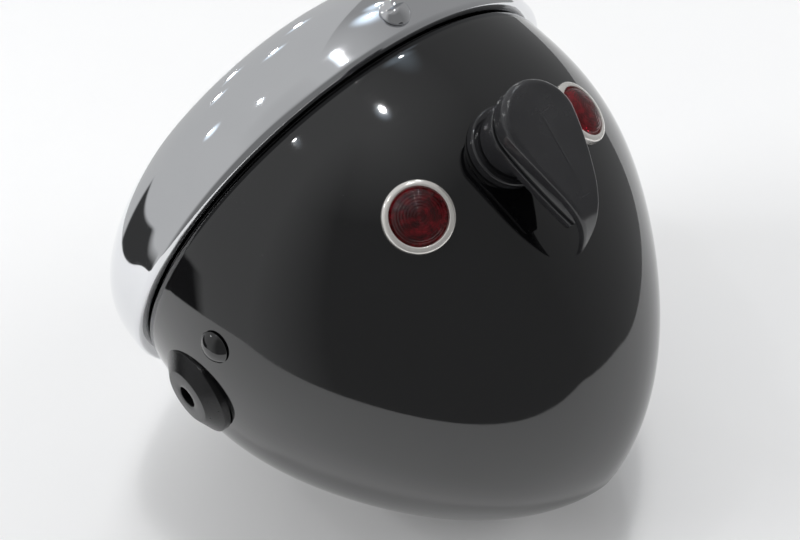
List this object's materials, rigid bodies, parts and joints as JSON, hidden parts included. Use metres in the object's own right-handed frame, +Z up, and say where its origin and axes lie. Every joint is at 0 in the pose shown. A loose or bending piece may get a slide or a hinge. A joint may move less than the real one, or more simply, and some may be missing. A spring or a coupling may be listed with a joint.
{
  "type": "round motorcycle headlight",
  "caption": "Deep bullet-shaped motorcycle headlight with a bright rim, a lever switch between red tell-tale lamps, and threaded side bosses.",
  "frame": {"origin": "middle of the tilt axis, the line through the threaded holes of the two side bosses", "axes": "+X to the rider's left along the tilt axis, -Y forwards through the lens, +Z up as mounted"},
  "size_m": [0.1854, 0.1757, 0.201],
  "materials": {
    "black_enamel": "gloss black stove enamel",
    "chrome_plate": "polished chrome plate",
    "zinc_steel": "zinc-plated steel",
    "clear_glass": "clear glass",
    "black_rubber": "matt black rubber",
    "silvered_bowl": "bright silvered",
    "brass_parts": "plain brass",
    "brown_phenolic": "brown phenolic",
    "black_plastic": "glossy black phenolic",
    "red_lens": "deep red transparent plastic",
    "cream_plastic": "cream plastic"
  },
  "bodies": {
    "headlight": {"shell": "black_enamel", "rim": "chrome_plate", "rim_screw": "chrome_plate", "rim_screw_plate": "zinc_steel", "rim_hook": "zinc_steel", "front_lens": "clear_glass", "lens_gasket": "black_rubber", "reflector": "silvered_bowl", "reflector_clips": "zinc_steel", "bulb_glass": "clear_glass", "bulb_cap": "brass_parts", "bulb_holder": "brown_phenolic", "holder_terminals": "brass_parts", "switch_ring": "black_plastic", "switch_housing": "black_plastic", "switch_washer": "black_rubber", "switch_contact_plate": "brown_phenolic", "switch_terminals": "brass_parts", "left_bezel": "chrome_plate", "left_tell_tale": "red_lens", "left_lamp_nut": "zinc_steel", "left_lamp_holder": "cream_plastic", "left_lamp_bulb": "clear_glass", "right_bezel": "chrome_plate", "right_tell_tale": "red_lens", "right_lamp_nut": "zinc_steel", "right_lamp_holder": "cream_plastic", "right_lamp_bulb": "clear_glass", "left_boss": "black_enamel", "left_strap": "zinc_steel", "left_rivets": "black_enamel", "right_boss": "black_enamel", "right_strap": "zinc_steel", "right_rivets": "black_enamel", "cable_grommet": "black_rubber"},
    "switch": {"switch_lever": "black_plastic", "switch_shaft": "zinc_steel", "switch_drum": "brown_phenolic"}
  },
  "joints": [
    {"name": "switch_turn", "type": "hinge", "parent": "headlight", "child": "switch", "pos_m": [0, 0.016, 0.0901], "axis": [0, 0.2402, 0.9707], "range_deg": [-45, 45]}
  ]
}
